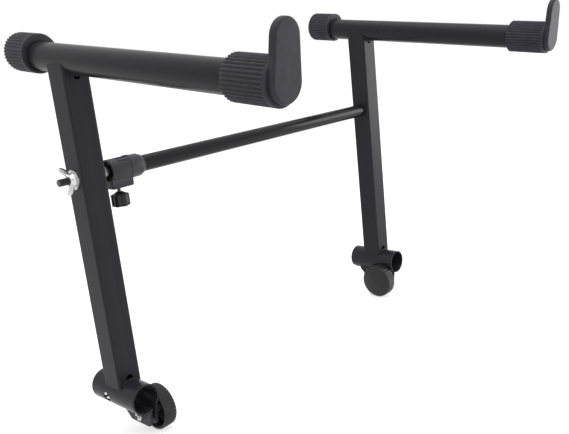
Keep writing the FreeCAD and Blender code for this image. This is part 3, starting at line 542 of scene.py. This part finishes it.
def add_lip(made):
    """The raised lip: a rounded paddle of two circles and the lines that touch both."""
    before = set(made.verts)
    lean = math.asin((LIP_FOOT - LIP_HEAD) / LIP_RISE)
    side_way = Vector((math.cos(lean), -math.sin(lean), 0.0))
    other_way = Vector((-side_way.x, side_way.y, 0.0))
    head = Vector((0.0, -LIP_RISE, 0.0))
    back = Vector((0.0, 0.0, STOP_END + LIP_SUNK))
    first = made.verts.new(side_way * LIP_FOOT + back)
    foot = bmesh.ops.spin(made, geom=[first], cent=back, axis=(0, 0, 1), angle=math.pi + 2 * lean,
                          steps=36, use_merge=False, use_duplicate=False)
    second = made.verts.new(head + other_way * LIP_HEAD + back)
    made.edges.new((foot["geom_last"][0], second))
    top = bmesh.ops.spin(made, geom=[second], cent=head + back, axis=(0, 0, 1),
                         angle=math.pi - 2 * lean, steps=32, use_merge=False, use_duplicate=False)
    made.edges.new((top["geom_last"][0], first))
    outline = [edge for edge in made.edges if not edge.link_faces and edge.verts[0] not in before]
    plate = bmesh.ops.contextual_create(made, geom=outline)["faces"]
    grown = bmesh.ops.extrude_face_region(made, geom=plate)
    front = [item for item in grown["geom"] if isinstance(item, bmesh.types.BMVert)]
    bmesh.ops.translate(made, verts=front, vec=(0.0, 0.0, -LIP_THICKNESS - LIP_SUNK))
    for level, rounding, segments in ((STOP_END - LIP_THICKNESS, 2.0, 6),
                                      (STOP_END + LIP_SUNK, 0.9, 3)):
        rim = [edge for edge in made.edges if edge.verts[0] not in before and edge.is_manifold
               and all(abs(vert.co.z - level) < LEVEL_ROOM for vert in edge.verts)]
        bmesh.ops.bevel(made, geom=rim, offset=rounding, offset_type="OFFSET", segments=segments,
                        profile=0.5, affect="EDGES", material=-1)
    flats = [item for item in made.faces if len(item.verts) > 40 and item.verts[0] not in before]
    for step in (0.4, 4.0):
        bmesh.ops.inset_region(made, faces=flats, thickness=step)


def make_front_stop(side, middle):
    """The ribbed sleeve over the arm's front end, with the lip that holds the keyboard."""
    ring = STOP_END + 3.5
    outside = [(0.0, STOP_END), (STOP_RADIUS - 1.2, STOP_END)]
    outside += arc((STOP_RADIUS - 1.0, STOP_END + 1.0), 1.0, -90.0, 0.0, 3)
    outside += [(STOP_RADIUS, ring), (STOP_RADIUS, ring + 0.5), (STOP_RADIUS, ring + 1.0),
                (STOP_RADIUS, ring + 20.0)]
    outside += arc((STOP_RADIUS - 0.9, STOP_MOUTH - 0.9), 0.9, 0.0, 90.0, 3)
    bore = [(ARM_RADIUS + 0.9, STOP_MOUTH), (ARM_RADIUS + 0.3, STOP_MOUTH - 0.3),
            (ARM_RADIUS + 0.05, STOP_MOUTH - 1.2), (ARM_RADIUS + 0.05, STOP_END + 5.0),
            (0.0, STOP_END + 5.0)]
    made = ribbed_sleeve(outside, bore, STOP_RISE, STOP_MOUTH)
    press_ribs(made, STOP_RADIUS, RIBS, RIB_DEPTH, ring, STOP_MOUTH + 1.0)
    add_lip(made)
    finish_piece(made, f"{side}_front_stop", arm_frame(middle, STOP_RISE), flat_above=50.0)


# ---------------------------------------------------------------- threads

THREAD_WELD = 0.01


def threaded_rod(radius, pitch, start, end, bevel, steps=22):
    """A rod with a real helical thread between two heights, cut square and bevelled."""
    made = bmesh.new()
    root = radius - 0.6 * pitch
    profile = [(root, 0.0), (radius, 0.38 * pitch), (radius, 0.52 * pitch), (root, 0.9 * pitch),
               (root, pitch)]
    verts = [made.verts.new((out, 0.0, start - pitch + up)) for out, up in profile]
    edges = [made.edges.new(pair) for pair in zip(verts, verts[1:])]
    bmesh.ops.spin(made, geom=verts + edges, cent=(0, 0, 0), axis=(0, 0, 1), angle=TURN,
                   steps=steps, dvec=(0.0, 0.0, pitch / steps), use_duplicate=False)
    coil = made.verts[:] + made.edges[:] + made.faces[:]
    for turn in range(1, math.ceil((end - start) / pitch) + 2):
        copy = bmesh.ops.duplicate(made, geom=coil)["geom"]
        moved = [item for item in copy if isinstance(item, bmesh.types.BMVert)]
        bmesh.ops.translate(made, verts=moved, vec=(0.0, 0.0, pitch * turn))
    bmesh.ops.remove_doubles(made, verts=made.verts, dist=THREAD_WELD)
    for level, way in ((start, -1.0), (end, 1.0)):
        whole = made.verts[:] + made.edges[:] + made.faces[:]
        cut = bmesh.ops.bisect_plane(made, geom=whole, plane_co=(0, 0, level), plane_no=(0, 0, way),
                                     clear_outer=True)
        rim = [item for item in cut["geom_cut"] if isinstance(item, bmesh.types.BMEdge)]
        bmesh.ops.edgeloop_fill(made, edges=rim)
    for vert in made.verts:
        depth = min(vert.co.z - start, end - vert.co.z)
        distance = math.hypot(vert.co.x, vert.co.y)
        limit = radius - max(bevel - depth, 0.0)
        if distance > limit:
            vert.co.x *= limit / distance
            vert.co.y *= limit / distance
    bmesh.ops.recalc_face_normals(made, faces=made.faces)
    return made


HEAD_RADIUS = 5.0
HEAD_HEIGHT = 4.0
HEAD_MIDDLE = 32.5


def make_clamp_screw(side, middle, inward):
    """The threaded clamp screw and its six-sided head inside the knob."""
    made = threaded_rod(3.0, 1.0, -3.5, 31.0, 0.6)
    head = bmesh.ops.create_cone(made, cap_ends=True, segments=6, radius1=HEAD_RADIUS,
                                 radius2=HEAD_RADIUS, depth=HEAD_HEIGHT)
    bmesh.ops.translate(made, verts=head["verts"], vec=(0.0, 0.0, HEAD_MIDDLE))
    finish_piece(made, f"{side}_clamp_screw", screw_frame(middle, inward))


def make_pivot_stud():
    """The threaded stud on which the left unit turns."""
    made = threaded_rod(4.0, 1.25, -32.6, 34.0, 0.7)
    finish_piece(made, "pivot_stud", bar_frame(LEFT_MIDDLE, -1.0))


# ---------------------------------------------------------------- knobs

KNOB_RADIUS = 26.0
KNOB_RIM = 18.5
KNOB_SHOULDER = 35.5
KNOB_CROWN = 3.0
KNOB_WALL = 3.2
KNOB_EDGE = 2.0


def make_clamp_knob(side, middle, inward):
    """The round ribbed knob: a domed face, a hollow back and a hub on the screw."""
    floor = KNOB_SHOULDER - KNOB_WALL
    face = KNOB_RADIUS - KNOB_EDGE
    shares = [step / 10 for step in range(10)]
    profile = [(face * share, KNOB_SHOULDER + KNOB_CROWN * (1 - share ** 2)) for share in shares]
    profile += arc((face, KNOB_SHOULDER - KNOB_EDGE), KNOB_EDGE, 90.0, 0.0, 5)
    profile += [(KNOB_RADIUS, 30.0), (KNOB_RADIUS, 22.0)]
    profile += arc((KNOB_RADIUS - 0.8, KNOB_RIM + 0.8), 0.8, 0.0, -90.0, 3)
    profile += [(23.4, KNOB_RIM), (22.8, KNOB_RIM + 0.5), (21.8, floor - 1.0), (20.8, floor),
                (10.0, floor), (9.0, floor - 1.0), (8.0, 17.0), (7.6, 16.6), (3.4, 16.6),
                (3.0, 17.0), (3.0, 30.5), (5.0, 30.5), (5.0, 34.5), (0.0, 34.5)]
    made = turned(profile, RIB_STEPS)
    press_ribs(made, KNOB_RADIUS, RIBS, RIB_DEPTH, KNOB_RIM - 1.0, KNOB_SHOULDER + 1.0, reach=1.8)
    finish_piece(made, f"{side}_clamp_knob", screw_frame(middle, inward), flat_above=50.0)


LOCK_TOP = -24.5
LOCK_FOOT = -40.8
LOCK_RADIUS = 10.2
LOCK_LOBES = 6
LOCK_SCALLOP = 1.44


def make_lock_knob():
    """The small thumb knob: six lobes under a cone."""
    profile = [(0.0, LOCK_FOOT), (6.0, LOCK_FOOT)]
    profile += arc((LOCK_RADIUS - 1.0, LOCK_FOOT + 1.0), 1.0, -90.0, 0.0, 4)
    profile += [(LOCK_RADIUS, LOCK_FOOT + 5.0), (LOCK_RADIUS, LOCK_TOP - 6.0)]
    profile += arc((LOCK_RADIUS - 1.0, LOCK_TOP - 4.0), 1.0, 0.0, 62.0, 4)
    profile += [(6.0, LOCK_TOP - 1.7), (3.8, LOCK_TOP - 0.3), (3.2, LOCK_TOP), (2.2, LOCK_TOP),
                (2.0, LOCK_TOP - 0.2), (2.0, LOCK_FOOT + 3.0), (0.0, LOCK_FOOT + 3.0)]
    made = turned(profile, LOCK_LOBES * 24)
    press_ribs(made, LOCK_RADIUS, LOCK_LOBES, LOCK_SCALLOP, LOCK_FOOT - 1.0, LOCK_TOP + 1.0,
               power=2.0)
    finish_piece(made, "lock_knob", own_frame((COLLAR_START + LOCK_INSET, 0.0, BAR_HEIGHT)),
                 flat_above=50.0)


# ---------------------------------------------------------------- collar

COLLAR_BAND = 27.4
COLLAR_END = 45.4
RIDGE_ROUNDING = 0.3
RIDGE_TURN = math.radians(205.0)


BOSS_HALF = 8.5
BOSS_FOOT = 20.0
BOSS_ROOT = 12.4
BOSS_ROUNDING = 1.6
BOSS_START = 0.15
BOSS_LENGTH = 27.15
BOSS_RIM = 0.8


def add_boss(made):
    """The boss under the collar: its top follows the barrel and its edges are rounded."""
    before = set(made.verts)
    reach = math.degrees(math.asin(BOSS_HALF / BOSS_ROOT))
    inner = BOSS_HALF - BOSS_ROUNDING
    corner = BOSS_FOOT - BOSS_ROUNDING
    outline = arc((0.0, 0.0), BOSS_ROOT, reach, -reach, 12)
    outline += arc((corner, -inner), BOSS_ROUNDING, -90.0, 0.0, 5)
    outline += arc((corner, inner), BOSS_ROUNDING, 0.0, 90.0, 5)
    verts = [made.verts.new((down, across, BOSS_START)) for down, across in outline]
    edges = [made.edges.new(pair) for pair in zip(verts, verts[1:] + verts[:1])]
    end = bmesh.ops.contextual_create(made, geom=edges)["faces"]
    grown = bmesh.ops.extrude_face_region(made, geom=end)
    other = [item for item in grown["geom"] if isinstance(item, bmesh.types.BMVert)]
    bmesh.ops.translate(made, verts=other, vec=(0.0, 0.0, BOSS_LENGTH))
    rims = [edge for edge in made.edges if edge.verts[0] not in before
            and abs(edge.verts[0].co.z - edge.verts[1].co.z) < LEVEL_ROOM
            and all(math.hypot(vert.co.x, vert.co.y) > BOSS_ROOT + 0.2 for vert in edge.verts)]
    bmesh.ops.bevel(made, geom=rims, offset=BOSS_RIM, offset_type="OFFSET", segments=3, profile=0.5,
                    affect="EDGES", material=-1)


def add_ridge(made, low, high):
    """A slim block between two corners, with all its edges rounded, turned to its place."""
    before = set(made.verts)
    size = Vector(high) - Vector(low)
    middle = (Vector(high) + Vector(low)) / 2
    block = bmesh.ops.create_cube(made, size=1.0)["verts"]
    bmesh.ops.scale(made, verts=block, vec=size)
    bmesh.ops.translate(made, verts=block, vec=middle)
    edges = {edge for vert in block for edge in vert.link_edges}
    bmesh.ops.bevel(made, geom=list(edges), offset=RIDGE_ROUNDING, offset_type="OFFSET",
                    segments=2, profile=0.5, affect="EDGES", material=-1)
    ridge = [vert for vert in made.verts if vert not in before]
    bmesh.ops.rotate(made, verts=ridge, cent=(0, 0, 0), matrix=Matrix.Rotation(RIDGE_TURN, 3, "Z"))


def make_collar():
    """The moulded collar: a hollow mouth, a raised band, a tapered neck and the screw's boss."""
    profile = [(7.08, 5.0), (9.6, 5.0), (10.0, 4.6), (10.9, 0.4), (11.3, 0.0), (12.3, 0.0),
               (12.8, 0.3), (13.0, 0.8), (13.0, 24.6), (13.2, 24.9), (13.8, 25.5), (13.8, 29.3),
               (13.2, 29.9), (13.0, 30.2), (13.0, 40.0), (12.7, 40.8), (10.9, 45.0),
               (10.4, COLLAR_END), (9.7, COLLAR_END), (9.52, 45.2), (9.52, COLLAR_BAND),
               (7.08, COLLAR_BAND)]
    made = turned(profile, 96, closed=True)
    add_boss(made)
    for across in (-2.6, 2.6):
        add_ridge(made, (12.6, across - 0.6, 11.5), (13.7, across + 0.6, 24.4))
    finish_piece(made, "crossbar_collar", bar_frame(COLLAR_START))


# ---------------------------------------------------------------- wing nut

WING_SEAT = 16.7
WING_LEAN = math.radians(22.0)
WING_VOXEL = 0.00028
# Distance out and up, slope in degrees, width and thickness of a wing's sections.
WING_SECTIONS = (
    (4.8, 3.4, 12.0, 5.4, 4.2), (7.4, 4.3, 26.0, 6.2, 3.4), (9.8, 6.0, 42.0, 6.8, 3.0),
    (11.8, 8.3, 54.0, 6.8, 2.8), (13.2, 10.6, 60.0, 6.0, 2.6), (14.0, 12.2, 62.0, 3.4, 1.9),
)


def add_wing(made, turn):
    """One cast wing, swept out and up from the hub and rounded at its tip."""
    before = set(made.verts)
    loops = []
    for out, up, slope, width, thickness in WING_SECTIONS:
        ring = bmesh.ops.create_circle(made, cap_ends=False, segments=24, radius=0.5)["verts"]
        for vert in ring:
            swell = (abs(2 * vert.co.x) ** 4 + abs(2 * vert.co.y) ** 4) ** 0.25
            vert.co /= swell
        bmesh.ops.scale(made, verts=ring, vec=(width, thickness, 1.0))
        lean = Matrix.Rotation(-QUARTER - math.radians(slope), 3, "Y")
        bmesh.ops.rotate(made, verts=ring, cent=(0, 0, 0), matrix=lean)
        bmesh.ops.translate(made, verts=ring, vec=(out, 0.0, up))
        loops.append(list({edge for vert in ring for edge in vert.link_edges}))
    for first, second in zip(loops, loops[1:]):
        bmesh.ops.bridge_loops(made, edges=first + second)
    for end in (loops[0], loops[-1]):
        bmesh.ops.edgeloop_fill(made, edges=end)
    wing = [vert for vert in made.verts if vert not in before]
    bmesh.ops.rotate(made, verts=wing, cent=(0, 0, 0), matrix=Matrix.Rotation(turn, 3, "Z"))


def cast_together(made, voxel, smoothing):
    """Merges a mesh's closed shells into one skin and softens it, as casting does."""
    bmesh.ops.recalc_face_normals(made, faces=made.faces)
    bmesh.ops.scale(made, verts=made.verts, vec=(MM, MM, MM))
    mesh = bpy.data.meshes.new("cast_shells")
    made.to_mesh(mesh)
    made.free()
    source = bpy.data.objects.new("cast_shells", mesh)
    bpy.context.scene.collection.objects.link(source)
    modifier = source.modifiers.new("skin", "REMESH")
    modifier.mode = "VOXEL"
    modifier.voxel_size = voxel
    shaped = source.evaluated_get(bpy.context.evaluated_depsgraph_get())
    skin = bmesh.new()
    skin.from_mesh(shaped.to_mesh())
    shaped.to_mesh_clear()
    bpy.data.objects.remove(source)
    bpy.data.meshes.remove(mesh)
    for _ in range(smoothing):
        bmesh.ops.smooth_vert(skin, verts=skin.verts, factor=0.5, use_axis_x=True, use_axis_y=True,
                              use_axis_z=True)
    bmesh.ops.scale(skin, verts=skin.verts, vec=(1 / MM, 1 / MM, 1 / MM))
    return skin


def make_wing_nut():
    """The cast wing nut outside the left upright."""
    hub = [(4.06, 0.0), (8.0, 0.0), (8.0, 1.6), (7.5, 2.4), (6.6, 5.2), (5.8, 6.0), (4.06, 6.0)]
    made = turned(hub, 64, closed=True)
    add_wing(made, WING_LEAN)
    add_wing(made, WING_LEAN + math.pi)
    skin = cast_together(made, WING_VOXEL, 3)
    finish_piece(skin, "wing_nut", bar_frame(LEFT_MIDDLE - WING_SEAT, -1.0), flat_above=60.0)


# ---------------------------------------------------------------- weld beads

BEAD_SIDES = 12
BEAD_STEPS = 5                # steps to each ripple
SIDE_BEAD = 1.9
SIDE_RIPPLES = 17
BAR_BEAD = 1.8
BAR_RIPPLES = 34


def add_bead(made, ring_radius, thickness, sweep, ripples, placement):
    """A rippled weld bead along an arc about own Z, centred on own X, then placed."""
    before = set(made.verts)
    whole = sweep >= TURN
    ring = bmesh.ops.create_circle(made, cap_ends=False, segments=BEAD_SIDES,
                                   radius=thickness)["verts"]
    bmesh.ops.rotate(made, verts=ring, cent=(0, 0, 0), matrix=Matrix.Rotation(QUARTER, 3, "X"))
    bmesh.ops.translate(made, verts=ring, vec=(ring_radius, 0.0, 0.0))
    bmesh.ops.rotate(made, verts=ring, cent=(0, 0, 0), matrix=Matrix.Rotation(-sweep / 2, 3, "Z"))
    edges = list({edge for vert in ring for edge in vert.link_edges})
    bmesh.ops.spin(made, geom=ring + edges, cent=(0, 0, 0), axis=(0, 0, 1), angle=sweep,
                   steps=ripples * BEAD_STEPS, use_merge=whole, use_duplicate=False)
    bead = [vert for vert in made.verts if vert not in before]
    for vert in bead:
        turn = math.atan2(vert.co.y, vert.co.x)
        centre = Vector((ring_radius * math.cos(turn), ring_radius * math.sin(turn), 0.0))
        ripple = abs(math.sin(ripples * math.pi * turn / sweep))
        end = 1.0 if whole else min(1.0, 0.45 + 6.0 * (0.5 - abs(turn) / sweep))
        vert.co = centre + (vert.co - centre) * (0.82 + 0.18 * ripple ** 0.6) * end
    if not whole:
        open_edges = [edge for edge in made.edges
                      if edge.is_boundary and edge.verts[0] not in before]
        bmesh.ops.holes_fill(made, edges=open_edges, sides=BEAD_SIDES)
    bmesh.ops.transform(made, matrix=placement, verts=bead)


def bead_frame(middle, across, up, way):
    """A frame whose own Z is the world's Y and whose own X points up or, with way -1, down."""
    turn = Matrix(((0.0, way, 0.0), (0.0, 0.0, 1.0), (way, 0.0, 0.0))).to_4x4()
    return Matrix.Translation((middle, across, up)) @ turn


def make_side_welds(side, middle):
    """The beads before and behind the upright, under the arm and over the clamp sleeve."""
    slope = math.tan(ARM_TILT)
    for node, radius, height, rise, way in (
        ("arm_weld", ARM_RADIUS, ARM_HEIGHT, slope, -1.0),
        ("sleeve_weld", SLEEVE_RADIUS, 0.0, 0.0, 1.0),
    ):
        sweep = 2 * math.asin((UPRIGHT_HALF - 2.0) / radius)
        made = bmesh.new()
        for across in (-UPRIGHT_HALF, UPRIGHT_HALF):
            placement = bead_frame(middle, across, height + across * rise, way)
            add_bead(made, radius, SIDE_BEAD, sweep, SIDE_RIPPLES, placement)
        finish_piece(made, f"{side}_{node}", Matrix.Identity(4), flat_above=50.0)


def make_crossbar_weld():
    """The bead round the crossbar on the right upright's inner face."""
    made = bmesh.new()
    add_bead(made, BAR_RADIUS + 0.3, BAR_BEAD, TURN, BAR_RIPPLES, Matrix.Identity(4))
    finish_piece(made, "crossbar_weld", bar_frame(-UPRIGHT_HALF - 0.1, -1.0), flat_above=50.0)


# ---------------------------------------------------------------- the detailed pieces

for side_name, (side_middle, side_inward) in SIDES.items():
    make_rear_cap(side_name, side_middle)
    make_front_stop(side_name, side_middle)
    make_clamp_screw(side_name, side_middle, side_inward)
    make_clamp_knob(side_name, side_middle, side_inward)
    make_side_welds(side_name, side_middle)
make_pivot_stud()
make_lock_knob()
make_collar()
make_wing_nut()
make_crossbar_weld()


# ---------------------------------------------------------------- camera

CAMERA_PLACE = Vector((-0.90204, -0.63835, 0.36906))
CAMERA_YAW = math.radians(47.0015)
CAMERA_PITCH = math.radians(14.335)
CAMERA_ROLL = math.radians(-6.044)
FOCAL_PIXELS = 678.33
IMAGE_WIDTH = 569
SENSOR = 36.0


def make_camera():
    """The photograph's viewpoint. Yaw turns from +Y towards +X, and pitch looks down."""
    forward = Vector((math.sin(CAMERA_YAW) * math.cos(CAMERA_PITCH),
                      math.cos(CAMERA_YAW) * math.cos(CAMERA_PITCH), -math.sin(CAMERA_PITCH)))
    level = Vector((math.cos(CAMERA_YAW), -math.sin(CAMERA_YAW), 0.0))
    upright = level.cross(forward)
    right = level * math.cos(CAMERA_ROLL) + upright * math.sin(CAMERA_ROLL)
    up = right.cross(forward)
    data = bpy.data.cameras.new("camera")
    data.sensor_width = SENSOR
    data.lens = FOCAL_PIXELS / IMAGE_WIDTH * SENSOR
    data.clip_start = 0.05
    camera = bpy.data.objects.new("camera", data)
    bpy.context.scene.collection.objects.link(camera)
    rotation = Matrix((right, up, -forward)).transposed()
    camera.matrix_world = Matrix.Translation(CAMERA_PLACE) @ rotation.to_4x4()
    bpy.context.scene.camera = camera


make_camera()


# ---------------------------------------------------------------- stage and light

FLOOR_GLOW = 0.6
STUDIO_LEVEL = 0.5


def shown(tree):
    """One for rays that show the background: the camera's, reflected and transmitted ones."""
    path = add_node(tree, "ShaderNodeLightPath")
    through = path.outputs["Is Transmission Ray"]
    seen = calculate(tree, "MAXIMUM", path.outputs["Is Camera Ray"], through)
    return calculate(tree, "MAXIMUM", seen, path.outputs["Is Glossy Ray"])


def make_floor():
    """A white floor just under the lowest point. Its glow only shows it whiter; shadows stay."""
    mesh = bpy.data.meshes.new("floor")
    made = bmesh.new()
    bmesh.ops.create_grid(made, x_segments=1, y_segments=1, size=20.0)
    made.to_mesh(mesh)
    made.free()
    floor = bpy.data.objects.new("floor", mesh)
    floor.location = (-0.26, 0.0, CAD_BOX[0].z - 0.001)
    bpy.context.scene.collection.objects.link(floor)
    material, tree, shader = new_material("white_floor")
    shader.inputs["Base Color"].default_value = tone(0.8)
    shader.inputs["Roughness"].default_value = 0.9
    shader.inputs["Specular IOR Level"].default_value = 0.0
    shader.inputs["Emission Color"].default_value = tone(1.0)
    glow = calculate(tree, "MULTIPLY", shown(tree), FLOOR_GLOW)
    link(tree, glow, shader.inputs["Emission Strength"])
    mesh.materials.append(material)


def make_world():
    """White to the camera and in reflections; a softer white to everything else."""
    world = bpy.data.worlds.new("studio")
    bpy.context.scene.world = world
    world.use_nodes = True
    tree = world.node_tree
    background = tree.nodes["Background"]
    level = calculate(tree, "MULTIPLY_ADD", shown(tree), 1.0 - STUDIO_LEVEL, STUDIO_LEVEL)
    background.inputs["Color"].default_value = tone(1.0)
    link(tree, level, background.inputs["Strength"])


def make_lamp(name, place, target, size, power):
    """A soft rectangular lamp aimed at a point."""
    data = bpy.data.lights.new(name, "AREA")
    data.shape = "RECTANGLE"
    data.size, data.size_y = size
    data.energy = power
    lamp = bpy.data.objects.new(name, data)
    lamp.location = place
    aim = Vector(target) - Vector(place)
    lamp.rotation_euler = aim.to_track_quat("-Z", "Y").to_euler()
    bpy.context.scene.collection.objects.link(lamp)


def make_sun(name, direction, strength, softness):
    """A broad, even light from one direction."""
    data = bpy.data.lights.new(name, "SUN")
    data.energy = strength
    data.angle = math.radians(softness)
    sun = bpy.data.objects.new(name, data)
    sun.rotation_euler = Vector(direction).to_track_quat("-Z", "Y").to_euler()
    bpy.context.scene.collection.objects.link(sun)


make_floor()
make_world()
make_sun("even_light", (0.25, 0.45, -1.0), 0.9, 60.0)
make_lamp("overhead", (-0.3, 0.1, 1.5), (-0.26, 0.0, 0.3), (1.6, 0.8), 5.0)
make_lamp("right_front", (1.5, -0.9, 0.4), (0.0, -0.1, 0.25), (0.9, 1.1), 15.0)
bpy.context.scene.view_settings.view_transform = "Standard"
